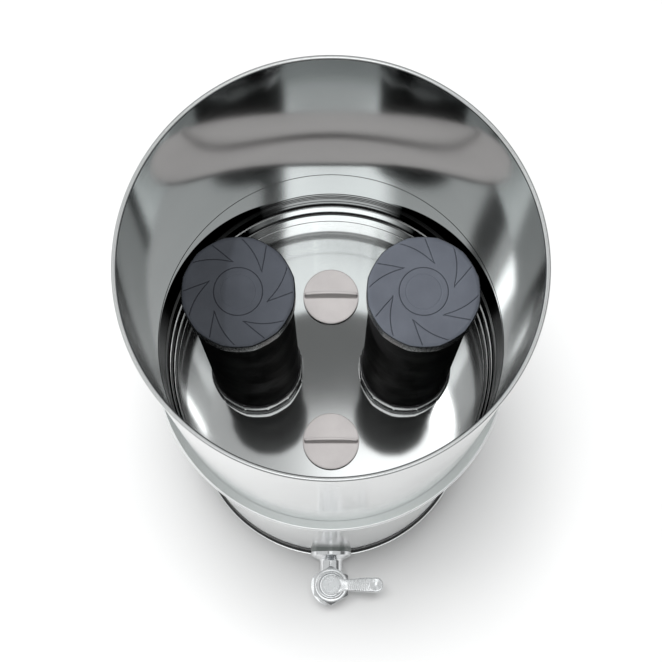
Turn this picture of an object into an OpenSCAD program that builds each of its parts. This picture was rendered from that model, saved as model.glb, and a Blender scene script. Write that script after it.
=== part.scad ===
/* [Chambers] */
// Outer radius of the upper chamber wall
chamber_r = 119.8; // [116:0.1:124]
// Thickness of the steel sheet
sheet_t = 0.8; // [0.6:0.1:1]
// Height of the upper chamber from its seat to the top of the rim
upper_h = 295.8; // [280:0.1:320]
// Height of the lower chamber rim above the table
lower_h = 339; // [320:1:380]
// How deep the upper chamber sits in the lower one
nest_d = 27.8; // [20:0.1:30]
// Radius of the rolled bead on the upper rim
bead_r = 1.5; // [1.2:0.1:2]
// How far the flat rolled rim of the lower chamber reaches outwards
ledge_w = 6.8; // [5:0.1:9]

/* [Foot] */
// How far the foot flange stands proud of the lower wall
foot_flare = 3.4; // [2.6:0.1:5]
// Height of the rubber ring under the foot
gasket_h = 3; // [2:0.5:4]

/* [Filters and plugs] */
// Radius of the circle that the four floor holes lie on
pattern_r = 55.5; // [54:0.1:58]
// Radius of the floor holes
hole_r = 6.6; // [6.4:0.1:7]
// Radius of the filter cap
cap_r = 34.6; // [33.6:0.1:36]
// Radius of the black filter element
element_r = 32; // [30:0.1:32]
// Height of a filter above the chamber floor
filter_h = 258; // [180:0.1:262]
// Radius of a blocking plug head
plug_r = 21.1; // [16:0.1:22]
// Radius over the thread of the stems
stem_r = 6; // [5.6:0.1:6.2]

/* [Tap] */
// Height of the tap shank above the table
tap_z = 48; // [46:1:80]
// Distance from the chamber axis to the valve axis
tap_reach = 152.5; // [150:0.1:160]
// Radius of the tap flange
flange_r = 17.8; // [16:0.1:20]
// Length of the lever from the valve axis to its tip
lever_len = 45.3; // [38:0.1:60]
// Radius of the spout outlet
outlet_r = 5; // [4:0.1:5]

/* [Hidden] */
$fn = 96;
t = sheet_t;
z_seat = lower_h - nest_d;              // plane on which the upper chamber rests
z_rim = z_seat + upper_h;               // top of the upper rim
wall_in = chamber_r - t;                // upper wall, inside
nest_r = chamber_r - 1.6;               // first inset of the upper wall, outside
nest2_r = chamber_r - 3.9;              // second inset, inside
z_step2 = z_seat - 15.9;                // top of the second inset
z_floor = z_step2 - 17.3;               // top of the upper chamber floor
turn_r = 3;                            // inside radius where the floor turns up
collar_in = chamber_r + 0.3;            // collar of the lower chamber, inside
low_r = chamber_r - 0.4;                // lower wall, outside
low_in = low_r - t;
low_floor = 16;                         // top of the lower chamber floor
corner = 6;                             // corner radius of the lower floor
foot_r = low_r + foot_flare;
washer_t = 1.5;                         // sealing washers under filters and plugs
z_base = z_floor + washer_t;            // underside of filter bases and plug heads
z_under = z_floor - t;                  // underside of the upper floor
cap_top = z_floor + filter_h;
elem_top = cap_top - 7.2;
cup_z = z_base + 5.5;
y_flange = low_r + 3;                   // back of the tap flange
valve_y = -tap_reach;
ball_r = 8.4;
hex_z = tap_z + 15;                     // underside of the bonnet hexagon
steel = "#c8cccf";
black = "#17181a";
plastic = "#c9c3c2";

// ---------- helpers ----------

// a tube between two heights
module tube(ro, ri, z0, z1) {
    difference() {
        translate([0, 0, z0]) cylinder(r = ro, h = z1 - z0);
        translate([0, 0, z0 - 1]) cylinder(r = ri, h = z1 - z0 + 2);
    }
}

// a round bar along Y at the height of the tap, from ya back to yb
module ybar(r, ya, yb) {
    translate([0, yb, tap_z]) rotate([90, 0, 0]) cylinder(r = r, h = yb - ya);
}

// profile of a threaded stem: crests of radius r every pitch
function thread_points(r, depth, pitch, n) =
    [for (i = [0 : n - 1]) each [
        [r - depth, i * pitch], [r, i * pitch + 0.25 * pitch],
        [r, i * pitch + 0.5 * pitch], [r - depth, i * pitch + 0.75 * pitch]]];

// a threaded bar standing on z = 0
module threaded(r, depth, pitch, n, bore) {
    rotate_extrude() difference() {
        polygon(concat([[0, 0]], thread_points(r, depth, pitch, n),
            [[r - depth, n * pitch], [0, n * pitch]]));
        translate([-1, -1]) square([bore + 1, n * pitch + 2]);
    }
}

module hexagon(af, h) {
    cylinder(r = af / 2 / cos(30), h = h, $fn = 6);
}

// ---------- lower chamber and its foot ----------

// wall, with the hole for the tap
module lower_chamber() {
    color(steel) difference() {
        tube(low_r, low_in, low_floor + corner, z_seat - t);
        ybar(8.1, -low_r - 4, -low_in + 4);
    }
}

// floor with its rounded corner
module lower_chamber_floor() {
    color(steel) rotate_extrude() {
        intersection() {
            difference() {
                translate([low_in - corner, low_floor + corner]) circle(r = corner + t);
                translate([low_in - corner, low_floor + corner]) circle(r = corner);
            }
            translate([low_in - corner, low_floor - t]) square([corner + t, corner + t]);
        }
        translate([0, low_floor - t]) square([low_in - corner, t]);
    }
}

// shoulder that carries the upper chamber, collar and rolled rim
module lower_chamber_rim() {
    color(steel) rotate_extrude() {
        translate([collar_in, lower_h - 2.8]) square([ledge_w - 1.4, 2.8]);
        translate([collar_in + ledge_w - 1.4, lower_h - 1.4]) circle(r = 1.4, $fn = 48);
        translate([collar_in, z_seat - t]) square([t, nest_d + t - 1]);
        translate([low_in, z_seat - t]) square([collar_in + t - low_in, t]);
    }
}

// trim ring round the foot, ending in a concave flare and a flat flange
module base_ring() {
    color(black) rotate_extrude() difference() {
        translate([low_r, gasket_h]) square([foot_flare, 25]);
        translate([low_r + 0.6, gasket_h + 1.2 + foot_flare - 0.6]) square([foot_flare, 30]);
        translate([low_r + foot_flare, gasket_h + 1.2 + foot_flare - 0.6])
            circle(r = foot_flare - 0.6);
    }
}

module foot_gasket() {
    color(black) tube(foot_r - 0.6, low_r - 3.4, 0, gasket_h);
}

// ---------- tap ----------

module tap_body() {
    color("#d4d7d9") difference() {
        union() {
            ybar(flange_r, -y_flange - 3.2, -y_flange);
            translate([0, -y_flange - 3.2, tap_z]) rotate([90, 0, 0])
                cylinder(r1 = flange_r, r2 = 9.8, h = 3.6);
            ybar(9.8, valve_y + 4, -y_flange - 3);
            // threaded shank through the wall
            translate([0, -y_flange, tap_z]) rotate([-90, 0, 0])
                threaded(7.8, 0.5, 1.5, 18, 0);
            // barrel, its tapered underside and the stub for the spout
            translate([0, valve_y, tap_z - 14]) cylinder(r = 13.5, h = 29);
            translate([0, valve_y, tap_z - 18]) cylinder(r1 = 9.6, r2 = 13.5, h = 4);
            translate([0, valve_y, tap_z - 25]) cylinder(r = 7, h = 8);
        }
        ybar(outlet_r, valve_y + 2, -y_flange + 40);
        translate([0, valve_y, tap_z - 10]) cylinder(r = 9.3, h = 30);
        translate([0, valve_y, tap_z - 30]) cylinder(r = outlet_r - 0.4, h = 22);
    }
}

module tap_outer_washer() {
    color(black) difference() {
        ybar(flange_r - 0.3, -y_flange, -low_r + 4);
        ybar(8.1, -y_flange - 1, -low_r + 6);
        cylinder(r = low_r, h = 200, $fn = 720);
    }
}

module tap_inner_washer() {
    color(black) intersection() {
        difference() {
            ybar(14, -low_in - 2, -low_in + 3.5);
            ybar(8.1, -low_in - 4, -low_in + 6);
        }
        cylinder(r = low_in, h = 200, $fn = 720);
    }
}

module tap_lock_nut() {
    color(steel) difference() {
        translate([0, -low_in + 11.5, tap_z]) rotate([90, 0, 0])
            rotate([0, 0, 30]) hexagon(24, 8);
        ybar(7.85, -low_in + 2, -low_in + 14);
    }
}

// two plastic seat rings: one round the inlet, one under the ball
module tap_seats() {
    color("white") {
        difference() {
            translate([0, valve_y, tap_z - 10]) cylinder(r = 9.25, h = 5);
            translate([0, valve_y, tap_z - 11]) cylinder(r = outlet_r - 0.2, h = 8);
            translate([0, valve_y, tap_z]) sphere(r = ball_r + 0.06);
        }
        difference() {
            intersection() {
                translate([0, valve_y, tap_z - 8]) cylinder(r = 9.25, h = 16);
                ybar(7, valve_y + 4.4, valve_y + 12);
            }
            ybar(outlet_r, valve_y, valve_y + 14);
            translate([0, valve_y, tap_z]) sphere(r = ball_r + 0.06);
            translate([0, valve_y, tap_z - 11]) cylinder(r = 9.4, h = 6.3);
        }
    }
}

// ball with a side port and a bottom port; the side port faces -X when shut
module tap_ball() {
    color("#dfe1e2") difference() {
        translate([0, valve_y, tap_z]) sphere(r = ball_r);
        translate([0, valve_y, tap_z - 12]) cylinder(r = outlet_r - 0.8, h = 12);
        translate([0, valve_y, tap_z]) rotate([0, -90, 0]) cylinder(r = outlet_r - 0.8, h = 12);
        translate([-3.7, valve_y - 1.6, tap_z + 5.7]) cube([7.4, 3.2, 4]);
    }
}

module tap_stem() {
    color(steel) {
        translate([-3.6, valve_y - 1.55, tap_z + 5.75]) cube([7.2, 3.1, 3.5]);
        translate([0, valve_y, tap_z + 9.2]) cylinder(r = 5, h = 2);
        translate([0, valve_y, tap_z + 11.2]) cylinder(r = 3.5, h = 13.4);
        translate([-2.4, valve_y - 2.4, tap_z + 24.6]) cube([4.8, 4.8, 6]);
    }
}

module tap_packing() {
    color("white") translate([0, valve_y, 0]) tube(6.4, 3.56, tap_z + 11.8, tap_z + 15.8);
}

// hexagonal cap nut with a stop flange on its left front side
module tap_bonnet() {
    color("#d4d7d9") translate([0, valve_y, 0]) difference() {
        union() {
            translate([0, 0, tap_z + 11.6]) cylinder(r = 9.25, h = 3.5);
            intersection() {
                translate([0, 0, hex_z]) rotate([0, 0, 30]) hexagon(29.5, 9);
                union() {
                    translate([0, 0, hex_z]) cylinder(r = 17, h = 6);
                    translate([0, 0, hex_z + 6]) cylinder(r1 = 17, r2 = 13.2, h = 3);
                }
            }
            intersection() {
                translate([0, 0, hex_z]) cylinder(r = 17.2, h = 4.2);
                translate([0, 0, hex_z]) linear_extrude(5)
                    polygon([[0, 0], [-26, 14], [-26, -24], [-6.2, -24]]);
            }
            translate([0, 0, hex_z + 8.9]) cylinder(r = 11.4, h = 2.4);
        }
        translate([0, 0, tap_z + 11]) cylinder(r = 3.56, h = 20);
        translate([0, 0, tap_z + 11.5]) cylinder(r = 6.5, h = 4.4);
        translate([0, 0, hex_z + 9.2]) cylinder(r = 9.4, h = 4);
    }
}

module tap_lever() {
    color("#c2c5c8") translate([0, valve_y, 0]) difference() {
        union() {
            translate([0, 0, hex_z + 9.9]) cylinder(r = 8.5, h = 6.4);
            translate([0, 0, hex_z + 12.2]) linear_extrude(4.1) union() {
                polygon([[0, -5.2], [14, -4.8], [lever_len - 12, -6.2], [lever_len - 6.3, -6.3],
                    [lever_len - 6.3, 6.3], [lever_len - 12, 6.2], [14, 4.8], [0, 5.2]]);
                translate([lever_len - 6.3, 0]) circle(r = 6.3);
            }
        }
        translate([-2.45, -2.45, hex_z + 9]) cube([4.9, 4.9, 6.7]);
        translate([-2, 0, hex_z + 12.8]) rotate([0, -90, 0]) cylinder(r = 1.5, h = 8);
    }
}

module tap_lever_screw() {
    color(black) translate([-2.5, valve_y, hex_z + 12.8]) rotate([0, -90, 0]) difference() {
        cylinder(r = 1.45, h = 5);
        translate([0, 0, 3.4]) hexagon(1.5, 3);
    }
}

module tap_spout() {
    color("#d4d7d9") translate([0, valve_y, 0]) difference() {
        union() {
            translate([0, 0, tap_z - 28]) cylinder(r = 9.2, h = 9.8);
            translate([0, 0, tap_z - 36]) cylinder(r1 = 7.2, r2 = 9.2, h = 8);
        }
        translate([0, 0, tap_z - 25]) cylinder(r = 7.05, h = 8);
        translate([0, 0, tap_z - 37]) cylinder(r = outlet_r, h = 14);
    }
}

// ---------- upper chamber ----------

// wall with its rolled rim
module upper_chamber() {
    color(steel) rotate_extrude() {
        translate([wall_in + bead_r, z_rim - bead_r]) circle(r = bead_r, $fn = 48);
        translate([wall_in, z_seat + t]) square([t, z_rim - bead_r - z_seat - t]);
    }
}

// the two insets below the wall, and the floor with its four holes
module upper_chamber_floor() {
    color(steel) difference() {
        rotate_extrude() {
            // first inset: the ring that rests on the shoulder of the lower chamber
            translate([nest_r - t, z_seat]) square([chamber_r - nest_r + t, t]);
            translate([nest_r - t, z_step2 - t]) square([t, z_seat - z_step2 + 2 * t]);
            // second inset
            translate([nest2_r, z_step2 - t]) square([nest_r - nest2_r, t]);
            translate([nest2_r, z_floor + turn_r]) square([t, z_step2 - z_floor - turn_r]);
            // turn between the floor and the inset
            intersection() {
                difference() {
                    translate([nest2_r - turn_r, z_floor + turn_r]) circle(r = turn_r + t, $fn = 192);
                    translate([nest2_r - turn_r, z_floor + turn_r]) circle(r = turn_r, $fn = 192);
                }
                translate([nest2_r - turn_r, z_floor - t]) square([turn_r + t, turn_r + t]);
            }
            translate([0, z_floor - t]) square([nest2_r - turn_r, t]);
        }
        for (a = [0 : 90 : 270])
            rotate([0, 0, a]) translate([pattern_r, 0, z_floor - 5]) cylinder(r = hole_r, h = 10);
    }
}

// ---------- filters ----------

module filter_cap() {
    difference() {
        union() {
            translate([0, 0, cap_top - 15.3]) cylinder(r = cap_r, h = 14.1);
            translate([0, 0, cap_top - 1.2]) cylinder(r1 = cap_r, r2 = cap_r - 1.2, h = 1.2);
        }
        translate([0, 0, cap_top - 16]) cylinder(r = element_r + 0.05, h = 8.8);
        // two moulded rings round the bare centre
        tube(15.1, 14.5, cap_top - 0.4, cap_top + 1);
        tube(11.1, 10.5, cap_top - 0.3, cap_top + 1);
    }
}

module filter_element() {
    tube(element_r, 10, cup_z, elem_top);
}

module filter_base() {
    difference() {
        union() {
            translate([0, 0, z_base]) cylinder(r1 = 35, r2 = 34.2, h = 6);
            translate([0, 0, z_base + 6]) cylinder(r = 33.4, h = 1.2);
            translate([0, 0, z_base + 7.2]) cylinder(r = 33.8, h = 14.3);
            translate([0, 0, z_base - 38]) threaded(stem_r, 0.5, 2, 19, 0);
        }
        translate([0, 0, cup_z]) cylinder(r = element_r + 0.05, h = 30);
        translate([0, 0, z_base - 40]) cylinder(r = 2.6, h = 60);
    }
}

module seal_washer(r) {
    tube(r, hole_r, z_floor, z_base);
}

module wing_nut() {
    difference() {
        union() {
            translate([0, 0, z_under - 10]) cylinder(r = 9.5, h = 9.9);
            translate([0, 0, z_under - 2.6]) cylinder(r = 13, h = 2.5);
            for (a = [0, 180]) rotate([90, 0, a]) translate([0, 0, -1.75])
                linear_extrude(3.5) union() {
                    polygon([[7, z_under - 2.5], [12.6, z_under - 2.5], [22, z_under - 9],
                        [22, z_under - 15], [16, z_under - 18], [7, z_under - 10]]);
                    translate([18.2, z_under - 13.4]) circle(r = 4.6);
                }
        }
        translate([0, 0, z_under - 30]) cylinder(r = stem_r + 0.05, h = 40);
    }
}

module filter_cap_left() { color("#4a4d56") translate([-pattern_r, 0, 0]) filter_cap(); }
module filter_element_left() { color(black) translate([-pattern_r, 0, 0]) filter_element(); }
module filter_base_left() { color(black) translate([-pattern_r, 0, 0]) filter_base(); }
module filter_washer_left() { color(black) translate([-pattern_r, 0, 0]) seal_washer(17); }
module wing_nut_left() { color(plastic) translate([-pattern_r, 0, 0]) rotate([0, 0, 90]) wing_nut(); }
module filter_cap_right() { color("#686b73") translate([pattern_r, 0, 0]) filter_cap(); }
module filter_element_right() { color(black) translate([pattern_r, 0, 0]) filter_element(); }
module filter_base_right() { color(black) translate([pattern_r, 0, 0]) filter_base(); }
module filter_washer_right() { color(black) translate([pattern_r, 0, 0]) seal_washer(17); }
module wing_nut_right() { color(plastic) translate([pattern_r, 0, 0]) rotate([0, 0, 90]) wing_nut(); }

// ---------- blocking plugs ----------

// round head with an upright grip fin along X, and a threaded stem
module plug() {
    union() {
        translate([0, 0, z_base]) cylinder(r = plug_r, h = 3);
        translate([0, 0, z_base + 3]) cylinder(r1 = plug_r, r2 = plug_r - 1, h = 1);
        translate([0, 1, z_base + 3.9]) rotate([90, 0, 0]) linear_extrude(2) intersection() {
            translate([-plug_r + 0.9, 0]) square([2 * plug_r - 1.8, 12.6]);
            translate([0, 12.5 - 39]) circle(r = 39, $fn = 192);
        }
        translate([0, 0, z_base - 28]) threaded(stem_r, 0.5, 2, 14, 0);
    }
}

module plug_nut() {
    difference() {
        union() {
            translate([0, 0, z_under - 2.6]) cylinder(r = 13, h = 2.5);
            translate([0, 0, z_under - 10]) hexagon(20, 7.5);
        }
        translate([0, 0, z_under - 20]) cylinder(r = stem_r + 0.05, h = 30);
    }
}

module plug_back() { color(plastic) translate([0, pattern_r, 0]) plug(); }
module plug_washer_back() { color(black) translate([0, pattern_r, 0]) seal_washer(plug_r - 1.4); }
module plug_nut_back() { color(plastic) translate([0, pattern_r, 0]) plug_nut(); }
module plug_front() { color(plastic) translate([0, -pattern_r, 0]) plug(); }
module plug_washer_front() { color(black) translate([0, -pattern_r, 0]) seal_washer(plug_r - 1.4); }
module plug_nut_front() { color(plastic) translate([0, -pattern_r, 0]) plug_nut(); }

lower_chamber();
lower_chamber_floor();
lower_chamber_rim();
base_ring();
foot_gasket();
tap_body();
tap_outer_washer();
tap_inner_washer();
tap_lock_nut();
tap_seats();
tap_ball();
tap_stem();
tap_packing();
tap_bonnet();
tap_lever();
tap_lever_screw();
tap_spout();
upper_chamber();
upper_chamber_floor();
filter_cap_left();
filter_element_left();
filter_base_left();
filter_washer_left();
wing_nut_left();
filter_cap_right();
filter_element_right();
filter_base_right();
filter_washer_right();
wing_nut_right();
plug_back();
plug_washer_back();
plug_nut_back();
plug_front();
plug_washer_front();
plug_nut_front();
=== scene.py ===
import math

import bmesh
import bpy
import numpy as np
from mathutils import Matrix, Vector, geometry


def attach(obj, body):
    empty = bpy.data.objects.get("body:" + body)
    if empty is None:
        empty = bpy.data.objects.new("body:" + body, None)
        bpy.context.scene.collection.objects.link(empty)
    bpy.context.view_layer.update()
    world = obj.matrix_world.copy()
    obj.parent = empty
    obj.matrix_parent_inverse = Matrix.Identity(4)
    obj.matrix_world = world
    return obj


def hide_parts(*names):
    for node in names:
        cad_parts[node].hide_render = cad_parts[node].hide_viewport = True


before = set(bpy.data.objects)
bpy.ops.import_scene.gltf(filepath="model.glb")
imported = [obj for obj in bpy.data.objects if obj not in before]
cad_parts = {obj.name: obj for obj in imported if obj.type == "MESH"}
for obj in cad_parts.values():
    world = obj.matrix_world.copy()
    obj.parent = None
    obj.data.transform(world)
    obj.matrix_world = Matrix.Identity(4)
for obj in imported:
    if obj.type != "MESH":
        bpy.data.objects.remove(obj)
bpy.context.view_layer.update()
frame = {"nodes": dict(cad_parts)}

MM = 0.001
PI = math.pi
scene = bpy.context.scene

# ------------------------------------------------------------------ sizes (mm)
R_WALL = 119.8
T = 0.8
Z_SEAT = 311.2
Z_RIM = 607.0
Z_STEP2 = 295.3
Z_FLOOR = 278.0
FLAT_R = 115.55
DISH_R = 0.35
Z_UNDER = Z_FLOOR - T
LOW_R = 119.4
LOW_IN = 118.6
COLLAR = 120.1
Z_LEDGE = 339.0
PAT = 55.5
Z_BASE = 279.5
CAP_TOP = 536.0
TAP_Z = 48.0
VALVE_Y = -152.5
HEX_Z = 63.0


# ------------------------------------------------------------------ materials
def new_mat(name):
    m = bpy.data.materials.new(name)
    m.use_nodes = True
    nt = m.node_tree
    b = nt.nodes["Principled BSDF"]
    return m, nt, b


def noise(nt, vec, scale, detail=3.0, rough=0.55, dist=0.0):
    n = nt.nodes.new("ShaderNodeTexNoise")
    n.inputs["Scale"].default_value = scale
    n.inputs["Detail"].default_value = detail
    n.inputs["Roughness"].default_value = rough
    n.inputs["Distortion"].default_value = dist
    nt.links.new(vec, n.inputs["Vector"])
    return n.outputs["Fac"]


def coords(nt, scale=(1, 1, 1)):
    c = nt.nodes.new("ShaderNodeTexCoord")
    m = nt.nodes.new("ShaderNodeMapping")
    m.inputs["Scale"].default_value = scale
    nt.links.new(c.outputs["Object"], m.inputs["Vector"])
    return m.outputs["Vector"]


def ramp(nt, fac, stops):
    r = nt.nodes.new("ShaderNodeValToRGB")
    e = r.color_ramp.elements
    while len(e) < len(stops):
        e.new(0.5)
    for k, (p, c) in enumerate(stops):
        e[k].position = p
        e[k].color = c if len(c) == 4 else (*c, 1.0)
    nt.links.new(fac, r.inputs["Fac"])
    return r.outputs["Color"]


def grey(v):
    return (v, v, v, 1.0)


def map_range(nt, fac, a, b, lo=0.0, hi=1.0):
    m = nt.nodes.new("ShaderNodeMapRange")
    m.inputs["From Min"].default_value = lo
    m.inputs["From Max"].default_value = hi
    m.inputs["To Min"].default_value = a
    m.inputs["To Max"].default_value = b
    nt.links.new(fac, m.inputs["Value"])
    return m.outputs["Result"]


def bump(nt, b, height, strength, distance, below=None):
    n = nt.nodes.new("ShaderNodeBump")
    n.inputs["Strength"].default_value = strength
    n.inputs["Distance"].default_value = distance
    nt.links.new(height, n.inputs["Height"])
    if below is not None:
        nt.links.new(below, n.inputs["Normal"])
    nt.links.new(n.outputs["Normal"], b.inputs["Normal"])
    return n.outputs["Normal"]


def math_node(nt, op, a, b=None):
    n = nt.nodes.new("ShaderNodeMath")
    n.operation = op
    for k, v in enumerate((a, b)):
        if v is None:
            continue
        if isinstance(v, (int, float)):
            n.inputs[k].default_value = v
        else:
            nt.links.new(v, n.inputs[k])
    return n.outputs[0]


def polished_steel(name, lo, hi, rough_lo, rough_hi, streak=0.0015, ripple=0.02):
    """Rolled and polished sheet: fine lines round the axis, faint smears and a slow ripple."""
    m, nt, b = new_mat(name)
    b.inputs["Metallic"].default_value = 1.0
    smear = noise(nt, coords(nt, (1, 1, 1)), 9.0, 4.0, 0.6, 0.3)
    fine = noise(nt, coords(nt, (14, 14, 900)), 1.0, 2.0, 0.5)
    nt.links.new(ramp(nt, smear, [(0.3, lo), (0.7, hi)]), b.inputs["Base Color"])
    mix = math_node(nt, "ADD", math_node(nt, "MULTIPLY", fine, 0.4), math_node(nt, "MULTIPLY", smear, 0.6))
    nt.links.new(map_range(nt, mix, rough_lo, rough_hi, 0.3, 0.7), b.inputs["Roughness"])
    slow = noise(nt, coords(nt, (1, 1, 0.35)), 6.0, 1.0, 0.4)
    below = bump(nt, b, slow, ripple, 0.004)
    bump(nt, b, fine, streak, 0.0004, below)
    return m


def object_xyz(nt):
    tc = nt.nodes.new("ShaderNodeTexCoord")
    sep = nt.nodes.new("ShaderNodeSeparateXYZ")
    nt.links.new(tc.outputs["Object"], sep.inputs[0])
    return sep.outputs


def calc(nt, op, a, b=None):
    n = nt.nodes.new("ShaderNodeMath")
    n.operation = op
    for k, v in enumerate((a, b)):
        if v is None:
            continue
        if isinstance(v, (int, float)):
            n.inputs[k].default_value = v
        else:
            nt.links.new(v, n.inputs[k])
    return n.outputs[0]


def smooth(nt, v, lo, hi, out_lo, out_hi):
    n = nt.nodes.new("ShaderNodeMapRange")
    n.interpolation_type = "SMOOTHSTEP"
    n.inputs["From Min"].default_value = lo
    n.inputs["From Max"].default_value = hi
    n.inputs["To Min"].default_value = out_lo
    n.inputs["To Max"].default_value = out_hi
    nt.links.new(v, n.inputs["Value"])
    return n.outputs["Result"]


def shade(m, share):
    """Multiplies a metal's base colour by a share between 0 and 1."""
    nt = m.node_tree
    base = next(n for n in nt.nodes if n.type == "BSDF_PRINCIPLED").inputs["Base Color"]
    src = base.links[0].from_socket
    vm = nt.nodes.new("ShaderNodeVectorMath")
    vm.operation = "SCALE"
    nt.links.new(src, vm.inputs[0])
    nt.links.new(share, vm.inputs["Scale"])
    nt.links.new(vm.outputs[0], base)


def painted_side_reflection(m, lo, hi, mid, side, tint_mid=None):
    """Painted reflection: the base colour and grazing tint go from the mid share near the middle to the side share
    towards the left and right, standing in for the reflections the narrow steps show there.
    """
    nt = m.node_tree
    ax = calc(nt, "ABSOLUTE", object_xyz(nt)[0])
    shade(m, smooth(nt, ax, lo, hi, mid, side))
    tint = nt.nodes.new("ShaderNodeCombineColor")
    edge = smooth(nt, ax, lo, hi, mid if tint_mid is None else tint_mid, side)
    for k in range(3):
        nt.links.new(edge, tint.inputs[k])
    pb = next(n for n in nt.nodes if n.type == "BSDF_PRINCIPLED")
    nt.links.new(tint.outputs[0], pb.inputs["Specular Tint"])


def painted_rising_reflection(m, z0, z1, r, first, least, tint):
    """The same painted dark reflection on the wall above the steps, up to a line that rises towards the sides."""
    nt = m.node_tree
    x, _, z = object_xyz(nt)
    ax = calc(nt, "DIVIDE", calc(nt, "ABSOLUTE", x), r)
    run = calc(nt, "MAXIMUM", calc(nt, "DIVIDE", calc(nt, "SUBTRACT", ax, first), 1.0 - first), 0.0)
    line = calc(nt, "ADD", calc(nt, "MULTIPLY", run, z1 - z0), z0)
    over = calc(nt, "SUBTRACT", z, line)
    mask = calc(nt, "MULTIPLY", smooth(nt, over, -0.0008, 0.0008, 1.0, 0.0), smooth(nt, ax, first, first + 0.2, 0.0, 1.0))
    shade(m, calc(nt, "SUBTRACT", 1.0, calc(nt, "MULTIPLY", mask, 1.0 - least)))
    share = calc(nt, "SUBTRACT", tint, calc(nt, "MULTIPLY", mask, tint - least))
    both = nt.nodes.new("ShaderNodeCombineColor")
    for k in range(3):
        nt.links.new(share, both.inputs[k])
    pb = next(n for n in nt.nodes if n.type == "BSDF_PRINCIPLED")
    nt.links.new(both.outputs[0], pb.inputs["Specular Tint"])


def cast_chrome(name, lo, hi, rough_lo, rough_hi, bumpy):
    m, nt, b = new_mat(name)
    b.inputs["Metallic"].default_value = 1.0
    v = coords(nt)
    cloud = noise(nt, v, 160.0, 4.0, 0.6)
    pit = noise(nt, v, 700.0, 3.0, 0.7)
    nt.links.new(ramp(nt, cloud, [(0.3, lo), (0.7, hi)]), b.inputs["Base Color"])
    nt.links.new(map_range(nt, cloud, rough_lo, rough_hi, 0.3, 0.7), b.inputs["Roughness"])
    bump(nt, b, pit, bumpy, 0.0003)
    return m


def plastic(name, lo, hi, rough_lo, rough_hi, grain=900.0, strength=0.12, spec=0.5):
    """Moulded plastic: spark-eroded grain, a little unevenness of colour and gloss."""
    m, nt, b = new_mat(name)
    v = coords(nt)
    cloud = noise(nt, v, 55.0, 4.0, 0.6)
    gr = noise(nt, v, grain, 2.0, 0.7)
    nt.links.new(ramp(nt, cloud, [(0.3, lo), (0.7, hi)]), b.inputs["Base Color"])
    nt.links.new(map_range(nt, gr, rough_lo, rough_hi, 0.3, 0.7), b.inputs["Roughness"])
    b.inputs["Specular IOR Level"].default_value = spec
    bump(nt, b, gr, strength, 0.0003)
    return m


def block_black(name):
    """Pressed filter block: fine pores and a faint cloudy unevenness of colour and gloss."""
    m, nt, b = new_mat(name)
    v = coords(nt)
    cloud = noise(nt, v, 40.0, 5.0, 0.65)
    pores = nt.nodes.new("ShaderNodeTexVoronoi")
    pores.inputs["Scale"].default_value = 900.0
    nt.links.new(v, pores.inputs["Vector"])
    nt.links.new(
        ramp(nt, cloud, [(0.25, (0.003, 0.003, 0.003, 1)), (0.75, (0.006, 0.006, 0.0063, 1))]),
        b.inputs["Base Color"],
    )
    nt.links.new(map_range(nt, cloud, 0.6, 0.75, 0.3, 0.7), b.inputs["Roughness"])
    b.inputs["Specular IOR Level"].default_value = 0.06
    bump(nt, b, pores.outputs["Distance"], 0.18, 0.0004)
    return m


STEEL_WALL = polished_steel("steel_wall", (0.48, 0.50, 0.50, 1), (0.535, 0.555, 0.555, 1), 0.05, 0.09)
# painted reflection: a darker copy of the wall steel for the ridged zone above the seat, near black at the sides
STEEL_RIDGE = polished_steel("steel_ridged_zone_painted_reflection", (0.27, 0.275, 0.275, 1), (0.33, 0.335, 0.335, 1), 0.05, 0.09)
STEEL_FLOOR = polished_steel("steel_floor", (0.73, 0.745, 0.745, 1), (0.78, 0.79, 0.79, 1), 0.055, 0.09)
# painted light: a lighter, partly diffuse copy of the outside steel brightens the lower chamber's wall
STEEL_LOW_LIT = polished_steel("steel_lower_outside_painted_light", (0.80, 0.81, 0.81, 1), (0.88, 0.89, 0.89, 1), 0.12, 0.20)
for n in STEEL_LOW_LIT.node_tree.nodes:
    if n.type == "BSDF_PRINCIPLED":
        n.inputs["Metallic"].default_value = 0.6
# painted reflection: the step walls turn near black towards the sides
STEEL_STEP = polished_steel("steel_steps_painted_reflection", (0.66, 0.675, 0.675, 1), (0.71, 0.72, 0.72, 1), 0.05, 0.09)
# painted reflection: a darker copy of the steel on the two ledges, darkest at the front and back, full towards the
# sides
STEEL_NOTCH = polished_steel("steel_ledges_painted_reflection", (0.60, 0.61, 0.61, 1), (0.66, 0.67, 0.67, 1), 0.05, 0.09)
# painted shade: near-black steel in the grooves above the seat, darker still at the sides
STEEL_GROOVE = polished_steel("steel_grooves_painted_shade", (0.05, 0.051, 0.051, 1), (0.07, 0.071, 0.071, 1), 0.06, 0.10)
# painted reflection on the ridged zone, steps, ledges and grooves, changing from the middle to the sides
painted_side_reflection(STEEL_RIDGE, 0.030, 0.066, 1.0, 0.01, 0.62)
painted_side_reflection(STEEL_STEP, 0.036, 0.072, 1.0, 0.015)
painted_side_reflection(STEEL_NOTCH, 0.036, 0.085, 0.10, 1.0)
painted_side_reflection(STEEL_GROOVE, 0.036, 0.085, 1.0, 0.4, 0.3)
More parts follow.
